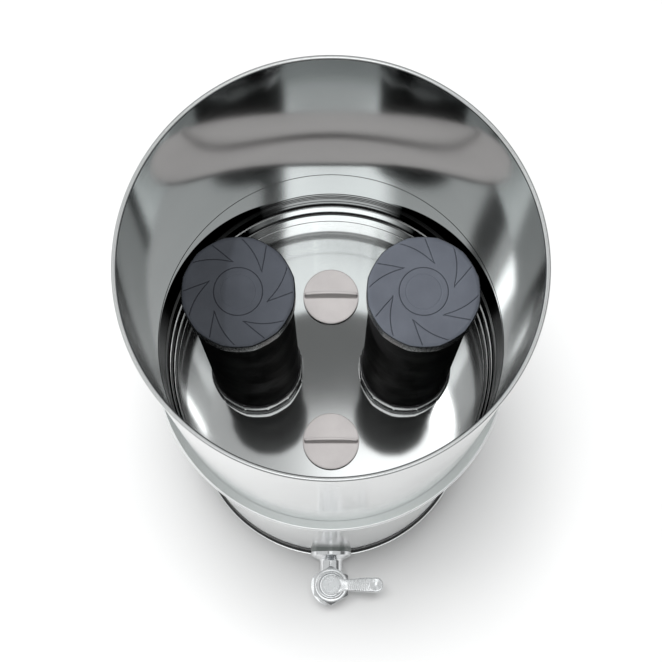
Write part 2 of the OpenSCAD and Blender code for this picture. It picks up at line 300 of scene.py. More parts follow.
# painted reflection: the wall just above the steps turns near black towards the sides
STEEL_SIDE = polished_steel("steel_wall_low_painted_reflection", (0.48, 0.50, 0.50, 1), (0.535, 0.555, 0.555, 1), 0.05, 0.09)
painted_rising_reflection(STEEL_SIDE, 0.3405, 0.3850, 0.119, 0.30, 0.015, 0.80)
for n in STEEL_WALL.node_tree.nodes:
    if n.type == "BSDF_PRINCIPLED":
        n.inputs["Specular Tint"].default_value = (0.80, 0.80, 0.80, 1.0)
STEEL_OUT = polished_steel("steel_outside", (0.74, 0.75, 0.75, 1), (0.82, 0.83, 0.83, 1), 0.10, 0.19)
CHROME = cast_chrome("tap_chrome", (0.70, 0.71, 0.72, 1), (0.80, 0.81, 0.82, 1), 0.06, 0.16, 0.05)
SATIN = cast_chrome("lever_satin", (0.56, 0.57, 0.58, 1), (0.66, 0.67, 0.68, 1), 0.22, 0.36, 0.12)
STEEL_PLAIN = cast_chrome("steel_turned", (0.48, 0.49, 0.50, 1), (0.60, 0.61, 0.62, 1), 0.22, 0.34, 0.06)
OXIDE = cast_chrome("screw_oxide", (0.03, 0.03, 0.033, 1), (0.06, 0.06, 0.064, 1), 0.3, 0.45, 0.1)
RUBBER = plastic("rubber", (0.010, 0.010, 0.0105, 1), (0.022, 0.022, 0.023, 1), 0.55, 0.75, 500.0, 0.2, 0.3)
WASHER = plastic("washer_silicone", (0.085, 0.098, 0.094, 1), (0.12, 0.137, 0.131, 1), 0.14, 0.22, 500.0, 0.04, 0.8)
SEAL = plastic("seal_plastic", (0.74, 0.74, 0.71, 1), (0.84, 0.84, 0.82, 1), 0.3, 0.42, 400.0, 0.08)
CAP = plastic("cap_plastic", (0.0145, 0.0160, 0.0196, 1), (0.0186, 0.0205, 0.0248, 1), 0.40, 0.54, 1100.0, 0.08, 0.30)
# painted shade: a darker copy of the cap plastic on the groove faces
CAP_GROOVE_SHADE = plastic("cap_groove_painted_shade", (0.006, 0.0065, 0.008, 1), (0.009, 0.010, 0.012, 1), 0.5, 0.65, 1100.0, 0.08, 0.12)
# painted shade: a darker, glossier copy of the cap plastic on the skirt; its gloss is the skirt's own
CAP_SIDE = plastic("cap_side_painted_shade", (0.006, 0.0065, 0.007, 1), (0.011, 0.012, 0.013, 1), 0.20, 0.32, 900.0, 0.06)
BASEPL = plastic("base_plastic", (0.016, 0.016, 0.017, 1), (0.028, 0.028, 0.029, 1), 0.06, 0.12, 300.0, 0.03, 1.0)
PLUGPL = plastic("plug_plastic", (0.345, 0.328, 0.325, 1), (0.385, 0.366, 0.362, 1), 0.34, 0.46, 900.0, 0.08)
# painted reflection: near-black colour for the foot ring, standing in for the dark reflection the steel foot shows
FOOT_DARK_REFLECTION = plastic("foot_painted_dark_reflection", (0.008, 0.008, 0.0085, 1), (0.014, 0.014, 0.0145, 1), 0.22, 0.34, 400.0, 0.06)
BLOCK = block_black("filter_block")


# ------------------------------------------------------------------ mesh helpers
def fillet(pts, seg=5, closed=True):
    """A closed outline whose corners carry an optional radius as a third number."""
    once = [pts[0]]
    for p in pts[1:]:
        if math.hypot(p[0] - once[-1][0], p[1] - once[-1][1]) > 1e-4:
            once.append(p)
    pts = once
    out = []
    n = len(pts)
    for i, p in enumerate(pts):
        rad = p[2] if len(p) > 2 else 0.0
        if rad <= 0 or (not closed and i in (0, n - 1)):
            out.append((p[0], p[1]))
            continue
        b = np.array(p[:2], float)
        a = np.array(pts[(i - 1) % n][:2], float)
        c = np.array(pts[(i + 1) % n][:2], float)
        va, vc = a - b, c - b
        la, lc = np.linalg.norm(va), np.linalg.norm(vc)
        va, vc = va / la, vc / lc
        ang = math.acos(max(-1, min(1, float(va @ vc))))
        if ang > PI - 1e-3:
            out.append((p[0], p[1]))
            continue
        d = min(rad / math.tan(ang / 2), 0.48 * la, 0.48 * lc)
        rad = d * math.tan(ang / 2)
        bis = va + vc
        bis /= np.linalg.norm(bis)
        cen = b + bis * rad / math.sin(ang / 2)
        p0, p1 = b + va * d, b + vc * d
        a0 = math.atan2(p0[1] - cen[1], p0[0] - cen[0])
        a1 = math.atan2(p1[1] - cen[1], p1[0] - cen[0])
        da = (a1 - a0 + PI) % (2 * PI) - PI
        for k in range(seg + 1):
            t = a0 + da * k / seg
            out.append((cen[0] + rad * math.cos(t), cen[1] + rad * math.sin(t)))
    clean = [out[0]]
    for q in out[1:]:
        if math.hypot(q[0] - clean[-1][0], q[1] - clean[-1][1]) > 1e-5:
            clean.append(q)
    if closed and math.hypot(clean[0][0] - clean[-1][0], clean[0][1] - clean[-1][1]) < 1e-5:
        clean.pop()
    return clean


def arc(cx, cz, r, a0, a1, n):
    return [
        (cx + r * math.cos(math.radians(a0 + (a1 - a0) * k / n)), cz + r * math.sin(math.radians(a0 + (a1 - a0) * k / n)))
        for k in range(n + 1)
    ]


class Build:
    """Collects vertices (mm), faces, loop normals and a material index for one mesh."""

    def __init__(self):
        self.v, self.f, self.n, self.m = [], [], [], []
        self.flat = (0, 0)

    def lathe(self, pts, n=96, closed=True, axis="z", centre=(0, 0, 0), mat=0, mat_fn=None, rfun=None, sharp=24.0, th0=0.0):
        """Revolves an outline (radius, height). Its outside is to the right of its direction of travel when the outline runs anticlockwise."""
        pts = [(max(0.0, p[0]) if abs(p[0]) > 1e-6 else 0.0, p[1]) for p in pts]
        k = len(pts)
        segs = k if closed else k - 1
        d = [(pts[(i + 1) % k][0] - pts[i][0], pts[(i + 1) % k][1] - pts[i][1]) for i in range(segs)]
        ln = [math.hypot(*q) for q in d]
        nm = [(q[1] / l, -q[0] / l) for q, l in zip(d, ln)]
        ns, ne = [list(q) for q in nm], [list(q) for q in nm]
        for i in range(segs):
            j = (i + 1) % segs
            if not closed and i == segs - 1:
                continue
            dot = nm[i][0] * nm[j][0] + nm[i][1] * nm[j][1]
            if dot > math.cos(math.radians(sharp)):
                if ln[i] > 3 * ln[j]:
                    w = nm[i]
                elif ln[j] > 3 * ln[i]:
                    w = nm[j]
                else:
                    w = (nm[i][0] + nm[j][0], nm[i][1] + nm[j][1])
                l = math.hypot(*w)
                w = (w[0] / l, w[1] / l)
                ne[i] = list(w)
                ns[j] = list(w)
        base = len(self.v)
        index = []
        cs = [(math.cos(th0 + 2 * PI * t / n), math.sin(th0 + 2 * PI * t / n)) for t in range(n)]

        def place(x, y, z):
            if axis == "z":
                p = (x, y, z)
            elif axis == "y":  # the outline's height runs along -Y
                p = (x, -z, y)
            else:  # height along -X
                p = (-z, x, y)
            return (p[0] + centre[0], p[1] + centre[1], p[2] + centre[2])

        def turn(x, y, z):
            if axis == "z":
                return (x, y, z)
            if axis == "y":
                return (x, -z, y)
            return (-z, x, y)

        for r, z in pts:
            if r == 0.0:
                index.append([len(self.v)] * n)
                self.v.append(place(0, 0, z))
            else:
                index.append(list(range(len(self.v), len(self.v) + n)))
                for t, (c, s) in enumerate(cs):
                    rr = rfun(r, z, th0 + 2 * PI * t / n) if rfun else r
                    self.v.append(place(rr * c, rr * s, z))
        for i in range(segs):
            a, b = i, (i + 1) % k
            ra, rb = pts[a][0], pts[b][0]
            if ra == 0.0 and rb == 0.0:
                continue
            mi = mat_fn(0.5 * (ra + rb), 0.5 * (pts[a][1] + pts[b][1])) if mat_fn else mat
            for t in range(n):
                u = (t + 1) % n
                (c0, s0), (c1, s1) = cs[t], cs[u]
                na0 = turn(ns[i][0] * c0, ns[i][0] * s0, ns[i][1])
                na1 = turn(ns[i][0] * c1, ns[i][0] * s1, ns[i][1])
                nb0 = turn(ne[i][0] * c0, ne[i][0] * s0, ne[i][1])
                nb1 = turn(ne[i][0] * c1, ne[i][0] * s1, ne[i][1])
                if ra == 0.0:
                    self.f.append((index[a][t], index[b][u], index[b][t]))
                    self.n += [na0, nb1, nb0]
                elif rb == 0.0:
                    self.f.append((index[a][t], index[a][u], index[b][t]))
                    self.n += [na0, na1, nb0]
                else:
                    self.f.append((index[a][t], index[a][u], index[b][u], index[b][t]))
                    self.n += [na0, na1, nb1, nb0]
                self.m.append(mi)
        return index

    def face(self, ids, normals, mat=0):
        self.f.append(tuple(ids))
        self.n += list(normals)
        self.m.append(mat)

    def object(self, name, mats, custom=True, angle=28.0):
        me = bpy.data.meshes.new(name)
        me.from_pydata([tuple(c * MM for c in p) for p in self.v], [], self.f)
        me.polygons.foreach_set("material_index", self.m)
        a, z = self.flat
        me.polygons.foreach_set("use_smooth", [not a <= i < z for i in range(len(self.f))])
        for m in mats:
            me.materials.append(m)
        me.update()
        if custom:
            me.normals_split_custom_set([tuple(x) for x in self.n])
        else:
            me.set_sharp_from_angle(angle=math.radians(angle))
        me.validate()
        o = bpy.data.objects.new(name, me)
        scene.collection.objects.link(o)
        return o


def bm_object(name, bm, mats, angle=28.0):
    me = bpy.data.meshes.new(name)
    bmesh.ops.recalc_face_normals(bm, faces=bm.faces)
    bm.to_mesh(me)
    bm.free()
    me.polygons.foreach_set("use_smooth", [True] * len(me.polygons))
    for m in mats:
        me.materials.append(m)
    me.set_sharp_from_angle(angle=math.radians(angle))
    o = bpy.data.objects.new(name, me)
    scene.collection.objects.link(o)
    return o


def prism(bm, outline, z0, z1, bevel=0.0, seg=2, matrix=None):
    """A closed prism over an outline of (x, y) in mm, its edges rounded by bevel."""
    low = [bm.verts.new((x * MM, y * MM, z0 * MM)) for x, y in outline]
    top = [bm.verts.new((x * MM, y * MM, z1 * MM)) for x, y in outline]
    faces = [bm.faces.new(list(reversed(low))), bm.faces.new(top)]
    n = len(outline)
    for i in range(n):
        faces.append(bm.faces.new((low[i], low[(i + 1) % n], top[(i + 1) % n], top[i])))
    if bevel:
        edges = {e for f in faces[:2] for e in f.edges}
        bmesh.ops.bevel(bm, geom=list(edges), offset=bevel * MM, segments=seg, profile=0.5, affect="EDGES")
    return low + top


def put(o, body, slot, *nodes):
    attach(o, body)
    if nodes:
        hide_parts(*nodes)
    return o


# ------------------------------------------------------------------ upper chamber
def upper_chamber():
    n = 512
    b = Build()
    zc = Z_FLOOR + DISH_R
    top = arc(FLAT_R, zc, DISH_R, -90, 0, 10)
    inner = [
        (top[-1][0], top[-1][1]),
        (115.9, Z_STEP2, 0.4),
        (117.4, Z_STEP2, 1.35),
        (117.4, Z_SEAT + T, 0.6),
        (119.0, Z_SEAT + T, 0.9),
    ]
    # fine rolled lines and two grooves just above the seat, then a scored line and the plain wall
    for z, depth in ((321.7, 0.35), (329.0, 0.09), (332.6, 0.09), (336.2, 0.09)):
        inner += [(119.0, z - 0.8), (119.0 + depth, z), (119.0, z + 0.8)]
    inner += [(119.0, 340.0), (119.45, 340.9), (119.0, 341.8)]
    inner += [(119.0, 387.3), (118.76, 387.8), (119.0, 388.3), (119.0, 605.5)]
    inner = fillet(inner, 6, closed=False)
    bead = arc(120.5, 605.5, 1.5, 180, -62, 36)
    outer = fillet(
        [
            (119.8, bead[-1][1]),
            (119.8, Z_SEAT, 0.9),
            (118.2, Z_SEAT, 0.5),
            (118.2, Z_STEP2 - T, 0.9),
            (116.7, Z_STEP2 - T, 0.4),
            (116.7, zc),
        ],
        5,
        closed=False,
    )
    under = arc(FLAT_R, zc, DISH_R + T, 0, -90, 10)
    # the outline runs from the floor's edge, up the inside, over the bead and down the outside:
    # that is clockwise, so it's turned round
    path = top[:-1] + inner + bead[1:] + outer[1:-1] + under
    path = [(p[0], p[1]) for p in path][::-1]

    # indices 3 to 7 carry painted reflection and painted shade: ridged zone, steps, ledges, grooves and the low wall
    def which(r, z):
        if z > 604.0 and r > 119.0:
            return 2
        if r > 119.6 or z < 277.6:
            return 2
        # the outer faces of the two steps
        if (z < 294.9 and r > 116.3) or (294.9 <= z < 311.4 and r > 117.8) or (311.4 <= z < 313.0 and r > 119.05):
            return 2
        if r < 115.6 and z < 279.0:
            return 1
        if 313.0 < z < 342.0 and r > 119.02:
            return 6
        if (311.4 < z < 313.0 and r > 117.8) or (294.9 < z < 295.9 and r > 115.95):
            return 5
        if 313.0 <= z < 340.6:
            return 3
        if 341.9 < z < 387.1:
            return 7
        if 278.6 < z < 294.9 or 296.0 < z < 310.9:
            return 4
        if z < 313.0:
            return 1
        return 0

    idx = b.lathe(path, n, closed=False, mat_fn=which)
    low_ring, top_ring = idx[0], idx[-1]
    # flat floor with its four holes
    holes = [(PAT, 0), (0, PAT), (-PAT, 0), (0, -PAT)]
    hn = 48
    pts, edges = [], []
    for t in range(n):
        p = b.v[top_ring[t]]
        pts.append(Vector((p[0], p[1])))
        edges.append((t, (t + 1) % n))
    start = n
    hole_ids = []
    for cx, cy in holes:
        ids = list(range(start, start + hn))
        for t in range(hn):
            a = 2 * PI * t / hn
            pts.append(Vector((cx + 7.6 * math.cos(a), cy + 7.6 * math.sin(a))))
            edges.append((start + t, start + (t + 1) % hn))
        hole_ids.append(ids)
        start += hn
    res = geometry.delaunay_2d_cdt(pts, edges, [], 0, 1e-5)
    rv, rf = res[0], res[2]
    remap_top, remap_low = {}, {}
    orig = res[3]
    src = [(o[0] if o else -1) for o in orig]
    for i, q in enumerate(rv):
        s = src[i]
        if 0 <= s < n:
            remap_top[i], remap_low[i] = top_ring[s], low_ring[s]
        else:
            remap_top[i] = len(b.v)
            b.v.append((q[0], q[1], Z_FLOOR))
            remap_low[i] = len(b.v)
            b.v.append((q[0], q[1], Z_UNDER))
    up, down = (0, 0, 1), (0, 0, -1)
    first_flat = len(b.f)
    for f in rf:
        cx = sum(rv[i][0] for i in f) / 3
        cy = sum(rv[i][1] for i in f) / 3
        if any(math.hypot(cx - hx, cy - hy) < 7.5 for hx, hy in holes):
            continue
        a, c, d = (rv[i] for i in f)
        area = (c[0] - a[0]) * (d[1] - a[1]) - (d[0] - a[0]) * (c[1] - a[1])
        f = list(f) if area > 0 else list(reversed(f))
        b.face([remap_top[i] for i in f], [up] * 3, 1)
        b.face([remap_low[i] for i in reversed(f)], [down] * 3, 2)
    back = {}
    for i, s in enumerate(src):
        back[s] = i
    flat = len(b.f)
    for (hx, hy), ids in zip(holes, hole_ids):
        rim_top, rim_low = len(b.v), len(b.v) + hn
        for z in (Z_FLOOR, Z_UNDER):
            for t in range(hn):
                a = 2 * PI * t / hn
                b.v.append((hx + 6.6 * math.cos(a), hy + 6.6 * math.sin(a), z))
        for t in range(hn):
            u = (t + 1) % hn
            i, j = back[ids[t]], back[ids[u]]
            b.face([rim_top + t, remap_top[i], remap_top[j], rim_top + u], [up] * 4, 1)
            b.face([rim_low + u, remap_low[j], remap_low[i], rim_low + t], [down] * 4, 2)
            a0, a1 = 2 * PI * t / hn, 2 * PI * (t + 1) / hn
            n0, n1 = (-math.cos(a0), -math.sin(a0), 0), (-math.cos(a1), -math.sin(a1), 0)
            b.face([rim_low + u, rim_low + t, rim_top + t, rim_top + u], [n1, n0, n0, n1], 1)
    b.flat = (first_flat, flat)
    o = b.object("upper_chamber_shell", [STEEL_WALL, STEEL_FLOOR, STEEL_OUT, STEEL_RIDGE, STEEL_STEP, STEEL_NOTCH, STEEL_GROOVE, STEEL_SIDE])
    put(o, "upper_unit", "steel_shell", "upper_chamber", "upper_chamber_floor")


upper_chamber()


# ------------------------------------------------------------------ lower chamber, foot
def lower_chamber():
    n = 512
    b = Build()
    zl = Z_LEDGE
    # anticlockwise: up the outside, over the rolled rim, down the inside, floor to the axis
    out = [
        (0.0, 15.2),
        (112.6, 15.2),
    ]
    out += arc(112.6, 22.0, 6.8, -90, 0, 14)[1:]
    out += fillet(
        [
            (LOW_R, 22.0),
            (LOW_R, Z_SEAT - T, 0.6),
            (COLLAR + T, Z_SEAT - T, 1.3),
            (COLLAR + T, zl - 2.8, 0.7),
            (125.5, zl - 2.8),
        ],
        6,
        closed=False,
    )[1:]
    out += arc(125.5, zl - 1.4, 1.4, -90, 90, 18)[1:]
    out += fillet(
        [
            (125.5, zl),
            (COLLAR - 0.12, zl, 0.08),
            (COLLAR - 0.12, zl - 3.0),
            (COLLAR, zl - 5.0),
            (COLLAR, Z_SEAT, 0.7),
            (LOW_IN, Z_SEAT, 0.6),
            (LOW_IN, 22.0),
        ],
        5,
        closed=False,
    )[1:]
    out += arc(112.6, 22.0, 6.0, 0, -90, 14)[1:]
    out += [(0.0, 16.0)]

    def which(r, z):
        if z > 338.0 and r < 125.6:
            return 1
        return 0

    b.lathe(out, n, closed=False, mat_fn=which)
    o = b.object("lower_chamber_shell", [STEEL_LOW_LIT, STEEL_RIM_PAINTED_DARK])
    put(o, "lower_unit", "steel_shell", "lower_chamber", "lower_chamber_floor", "lower_chamber_rim")


# painted reflection: a darker copy of the steel on the lower chamber's rolled rim, for the grey band it shows
STEEL_RIM_PAINTED_DARK = polished_steel("steel_ledge", (0.40, 0.42, 0.415, 1), (0.46, 0.48, 0.475, 1), 0.16, 0.24)
lower_chamber()


def base_ring():
    b = Build()
    pts = [(119.45, 3.0), (122.8, 3.0)]
    pts = fillet([(119.45, 3.0, 0.2), (122.8, 3.0, 0.25), (122.8, 4.2, 0.35)] + [q for q in arc(122.8, 7.0, 2.8, -90, -180, 14)] + [(120.0, 28.0, 0.35), (119.45, 28.0, 0.1)], 4)
    # the flare and skirt take the painted near-black reflection; the outer edge keeps the outside steel
    b.lathe(pts, 512, mat_fn=lambda r, z: 1 if r > 121.8 else 0)
    o = b.object("base_ring_trim", [FOOT_DARK_REFLECTION, STEEL_OUT])
    put(o, "lower_unit", "base_black", "base_ring")
    b = Build()
    b.lathe(fillet([(116.0, 0.0, 0.3), (122.2, 0.0, 0.5), (122.2, 3.0, 0.2), (116.0, 3.0, 0.2)], 4), 384)
    o = b.object("foot_gasket_rubber", [RUBBER])
    put(o, "lower_unit", "rubber_black", "foot_gasket")


base_ring()


# ------------------------------------------------------------------ filters
RING1, RING2 = 14.7, 10.7


def blade_lines():
    """Six plain curved blades round the centre, each one groove with a rounded tip, in mm."""
    lines = []
    for k in range(6):
        a0 = math.radians(60 * k + 14)
        line = []
        for i in range(61):
            u = -1 + i / 30
            r = 18.6 + 14.9 * abs(u) ** 1.45
            a = a0 + 0.25 * u - 0.60 * (1 - abs(u)) ** 1.1
            line.append((r * math.cos(a), r * math.sin(a)))
        lines.append(line)
    return lines


def groove_field(x, y, lines):
    """Distance in mm from each point to the nearest groove line."""
    d = np.full(x.shape, 99.0)
    for ln in lines:
        for (x0, y0), (x1, y1) in zip(ln[:-1], ln[1:]):
            dx, dy = x1 - x0, y1 - y0
            l2 = dx * dx + dy * dy
            t = np.clip(((x - x0) * dx + (y - y0) * dy) / l2, 0, 1)
            d = np.minimum(d, np.hypot(x - x0 - t * dx, y - y0 - t * dy))
    return d


def flats(r, z, th):
    """A skirt with twelve very shallow flats."""
    if r < 33.0:
        return r
    s = 2 * PI / 12
    u = (th + s / 2) % s - s / 2
    f = math.cos(s / 2) / math.cos(u)
    return r * (1 - 0.35 * (1 - f))


def base_flats(r, z, th):
    """The foot of a filter: twelve shallow flats with a small notch in the flange at each corner."""
    if r < 33.0 or z > 302.0:
        return r
    q = flats(r, z, th)
    s = 2 * PI / 12
    u = (th + s) % s - s / 2
    if abs(u) < math.radians(0.9) and z < 285.6:
        q -= 0.7
    return q


def filter_cap(side, x0):
    n, k = 720, 170
    b = Build()
    rr = np.concatenate([[0.0], np.linspace(0.6, 33.0, k)])
    th = np.arange(n) * 2 * PI / n
    lines = blade_lines()
    if side > 0:
        lines = [[(x * math.cos(0.5) - y * math.sin(0.5), x * math.sin(0.5) + y * math.cos(0.5)) for x, y in ln] for ln in lines]
    R, TH = np.meshgrid(rr[1:], th, indexing="ij")
    X, Y = R * np.cos(TH), R * np.sin(TH)
    d = groove_field(X, Y, lines)
    depth = 0.32 * np.exp(-((d / 0.29) ** 2))
    for ring, w, dp in ((RING1, 0.29, 0.32), (RING2, 0.30, 0.16)):
        depth = np.maximum(depth, dp * np.exp(-(((R - ring) / w) ** 2)))
    Z = CAP_TOP - 0.35 - depth + 0.30 * (1 - (R / 33.4) ** 2)
    Z -= np.where(R > 32.0, (R - 32.0) * 0.22, 0.0)
    centre = len(b.v)
    b.v.append((x0, 0, CAP_TOP - 0.05))
    grid = []
    for i in range(k):
        row = []
        for t in range(n):
            r, a = R[i, t], TH[i, t]
            rr_ = flats(r, 0, a) if r > 32.0 else r
            row.append(len(b.v))
            b.v.append((x0 + rr_ * math.cos(a), rr_ * math.sin(a), float(Z[i, t])))
        grid.append(row)
    for t in range(n):
        u = (t + 1) % n
        b.face((centre, grid[0][t], grid[0][u]), [(0, 0, 1)] * 3)
    for i in range(k - 1):
        for t in range(n):
            u = (t + 1) % n
            # faces in the deep grooves take the darker copy: painted shade
            deep = max(depth[i, t], depth[i + 1, t], depth[i + 1, u], depth[i, u]) > 0.25
            b.face((grid[i][t], grid[i + 1][t], grid[i + 1][u], grid[i][u]), [(0, 0, 1)] * 4, 2 if deep else 0)
    # the skirt: rounded edge, side, underside and the recess over the block
    z_edge = float(Z[-1, 0])
    side_pts = fillet(
        [
            (33.0, z_edge),
            (33.9, z_edge - 0.18, 0.6),
            (34.6, z_edge - 1.3, 0.8),
            (34.6, 521.8, 0.3),
            (34.3, 520.75, 0.25),
            (32.15, 520.75, 0.2),
            (32.15, 528.75),
            (0.0, 528.75),
        ],
        4,
        closed=False,
    )
    prev = grid[-1]
    for r, z in side_pts[1:]:
        if r < 1e-6:
            c = len(b.v)
            b.v.append((x0, 0, z))
            for t in range(n):
                u = (t + 1) % n
                b.face((prev[t], c, prev[u]), [(0, 0, 1)] * 3, 1)
            break
        row = []
        for t in range(n):
            a = th[t]
            q = flats(r, z, a) if r > 32.5 else r
            row.append(len(b.v))
            b.v.append((x0 + q * math.cos(a), q * math.sin(a), z))
        for t in range(n):
            u = (t + 1) % n
            b.face((prev[t], row[t], row[u], prev[u]), [(0, 0, 1)] * 4, 1 if z < z_edge - 0.9 else 0)
        prev = row
    tag = "left" if x0 < 0 else "right"
    o = b.object("filter_cap_moulded_" + tag, [CAP, CAP_SIDE, CAP_GROOVE_SHADE], custom=False, angle=50)
    put(o, "filter_" + tag, "cap_grey", "filter_cap_" + tag)


def thread(r, depth, z0, pitch, count):
    pts = []
    for i in range(count):
        z = z0 + i * pitch
        pts += [(r - depth, z), (r, z + 0.25 * pitch), (r, z + 0.5 * pitch), (r - depth, z + 0.75 * pitch)]
    return pts


def filter_rest(x0):
    tag = "left" if x0 < 0 else "right"
    c = (x0, 0, 0)
    # pressed block
    b = Build()
    b.lathe(
        fillet([(10.0, 285.0, 0.3), (32.0, 285.0, 0.5), (32.0, 528.7, 1.0), (10.0, 528.7, 0.3)], 5), 192, centre=c
    )
    o = b.object("filter_block_" + tag, [BLOCK])
    put(o, "filter_" + tag, "filter_black", "filter_element_" + tag)
    # base: two ridges at the foot, a cup round the block, a threaded stem with its bore
    b = Build()
    prof = [
        (2.6, 241.5, 0.2),
        (5.0, 241.5, 0.2),
    ]
    prof += [(q[0], q[1]) for q in thread(6.0, 0.5, 242.0, 2.0, 18)]
    prof += [
        (5.5, 279.5, 0.1),
        (34.5, 279.5, 0.3),
        (35.0, 280.0, 0.4),
        (34.3, 285.1, 0.35),
        (33.9, 285.5, 0.15),
        (33.4, 285.5, 0.1),
        (33.4, 286.7, 0.1),
        (33.6, 286.7, 0.1),
        (33.8, 287.0, 0.2),
        (33.8, 300.2, 0.5),
        (33.1, 300.98, 0.4),
        (32.05, 300.98, 0.1),
        (32.05, 285.0, 0.1),
        (2.6, 285.0, 0.1),
    ]
    b.lathe(fillet(prof, 3), 480, centre=c, rfun=base_flats)
    o = b.object("filter_base_moulded_" + tag, [BASEPL], custom=False, angle=20)
    put(o, "filter_" + tag, "base_black", "filter_base_" + tag)
    # sealing washer
    b = Build()
    b.lathe(fillet([(6.6, 278.02, 0.2), (17.0, 278.02, 0.4), (17.0, 279.48, 0.4), (6.6, 279.48, 0.2)], 4), 96, centre=c)
    o = b.object("filter_washer_rubber_" + tag, [RUBBER])
    put(o, "filter_" + tag, "rubber_black", "filter_washer_" + tag)


def wing_nut(x0):
    tag = "left" if x0 < 0 else "right"
    b = Build()
    b.lathe(
        fillet(
            [
                (6.05, Z_UNDER - 10, 0.3),
                (9.3, Z_UNDER - 10, 0.8),
                (9.5, Z_UNDER - 2.8, 0.6),
                (13.0, Z_UNDER - 2.5, 0.5),
                (13.0, Z_UNDER - 0.1, 0.4),
                (6.05, Z_UNDER - 0.1, 0.3),
            ],
            4,
        ),
        96,
        centre=(x0, 0, 0),
    )
    boss = b.object("wing_nut_boss_" + tag, [PLUGPL])
    # the wings stand along Y
    bm = bmesh.new()
    for s in (1, -1):
        outline = fillet(
            [(7.2, -9.8, 0.5), (12.2, -13.5, 3), (16.6, -17.6, 2.5), (20.8, -17.4, 3), (22.7, -13.5, 3), (21.4, -9.4, 2.5), (12.4, -2.7, 1.5), (7.2, -2.7, 0.3)],
            5,
        )
        vs = prism(bm, outline, -1.75, 1.75, 0.0)
        for v in vs:
            x, y, z = v.co
            v.co = Vector((x0 * MM + z, s * x, Z_UNDER * MM + y))
    bmesh.ops.recalc_face_normals(bm, faces=bm.faces)
    rim = [e for e in bm.edges if len(e.link_faces) == 2 and e.calc_face_angle() > 1.2]
    bmesh.ops.bevel(bm, geom=rim, offset=0.5 * MM, segments=2, profile=0.5, affect="EDGES")
    wings = bm_object("wing_nut_wings_" + tag, bm, [PLUGPL], 35)
    put(boss, "wing_" + tag, "plug_plastic", "wing_nut_" + tag)
    put(wings, "wing_" + tag, "plug_plastic")


for s in (-1, 1):
    filter_cap(s, s * PAT)
    filter_rest(s * PAT)
    wing_nut(s * PAT)


# ------------------------------------------------------------------ blocking plugs
def plug(y0):
    tag = "back" if y0 > 0 else "front"
    body = "plug_" + tag + "_body"
    c = (0, y0, 0)
    b = Build()
    prof = [(0.0, 251.5), (5.0, 251.5, 0.2)]
    prof += [(q[0], q[1]) for q in thread(6.0, 0.5, 252.0, 2.0, 13)]
    prof += [
        (5.5, 279.5, 0.1),
        (20.3, 279.5, 0.3),
        (21.1, 280.1, 0.4),
        (21.1, 281.9, 0.9),
        (20.2, 282.45, 0.8),
        (17.0, 282.75, 3.0),
        (9.0, 283.3, 3.0),
        (0.0, 283.5),
    ]
    b.lathe(fillet(prof, 5, closed=False), 160, closed=False, centre=c)
    head = b.object("plug_head_" + tag, [PLUGPL])
    # grip fin: arched top, thicker at its root
    bm = bmesh.new()
    nx, nz = 60, 8
    rows = []
    for i in range(nx + 1):
        x = -20.0 + 40.0 * i / nx
        h = 12.3 - (x / 20.0) ** 2 * 4.4
        e = max(0.0, (abs(x) - 18.8) / 1.2)
        h *= math.sqrt(max(0.0, 1 - 0.16 * e * e))
        row = []
        for sgn in (1, -1):
            col = []
            for j in range(nz + 1):
                v = j / nz
                z = 282.9 + (h + 0.6) * v
                w = 1.0 + 0.9 * (1 - v) ** 6
                if j == nz:
                    w = 0.72
                if j == nz - 1:
                    z = 282.9 + (h + 0.6) - 0.35
                w *= math.sqrt(max(0.25, 1 - 0.7 * e * e))
                col.append(bm.verts.new((x * MM, (y0 + sgn * w) * MM, z * MM)))
            row.append(col)
        rows.append(row)
    for i in range(nx):
        for j in range(nz):
            a, b2 = rows[i][0], rows[i + 1][0]
            bm.faces.new((a[j], a[j + 1], b2[j + 1], b2[j]))
            a, b2 = rows[i][1], rows[i + 1][1]
            bm.faces.new((a[j], b2[j], b2[j + 1], a[j + 1]))
        bm.faces.new((rows[i][0][nz], rows[i][1][nz], rows[i + 1][1][nz], rows[i + 1][0][nz]))
        bm.faces.new((rows[i][0][0], rows[i + 1][0][0], rows[i + 1][1][0], rows[i][1][0]))
    for i in (0, nx):
        for j in range(nz):
            bm.faces.new((rows[i][0][j], rows[i][1][j], rows[i][1][j + 1], rows[i][0][j + 1]))
    fin = bm_object("plug_fin_" + tag, bm, [PLUGPL], 40)
    put(head, body, "plug_plastic", "plug_" + tag)
    put(fin, body, "plug_plastic")
    b = Build()
    b.lathe(fillet([(6.6, 278.02, 0.2), (19.7, 278.02, 0.4), (19.7, 279.48, 0.4), (6.6, 279.48, 0.2)], 4), 120, centre=c)
    w = b.object("plug_washer_rubber_" + tag, [RUBBER])
    put(w, body, "rubber_black", "plug_washer_" + tag)
    # hexagon nut with a washer face under the floor
    b = Build()

    def hexed(r, z, th):
        if r < 9 or z > Z_UNDER - 2.55:
            return r
        u = (th + PI / 6) % (PI / 3) - PI / 6
        return min(r, 10.0 / math.cos(u))

    b.lathe(
        fillet(
            [
                (6.05, Z_UNDER - 10, 0.2),
                (10.2, Z_UNDER - 10),
                (11.55, Z_UNDER - 9.1),
                (11.55, Z_UNDER - 2.7),
                (13.0, Z_UNDER - 2.5, 0.3),
                (13.0, Z_UNDER - 0.1, 0.4),
                (6.05, Z_UNDER - 0.1, 0.2),
            ],
            4,
        ),
        144,
        centre=c,
        rfun=hexed,
    )
    nut = b.object("plug_nut_hex_" + tag, [PLUGPL], custom=False, angle=22)
    put(nut, "nut_" + tag, "plug_plastic", "plug_nut_" + tag)


plug(PAT)
plug(-PAT)


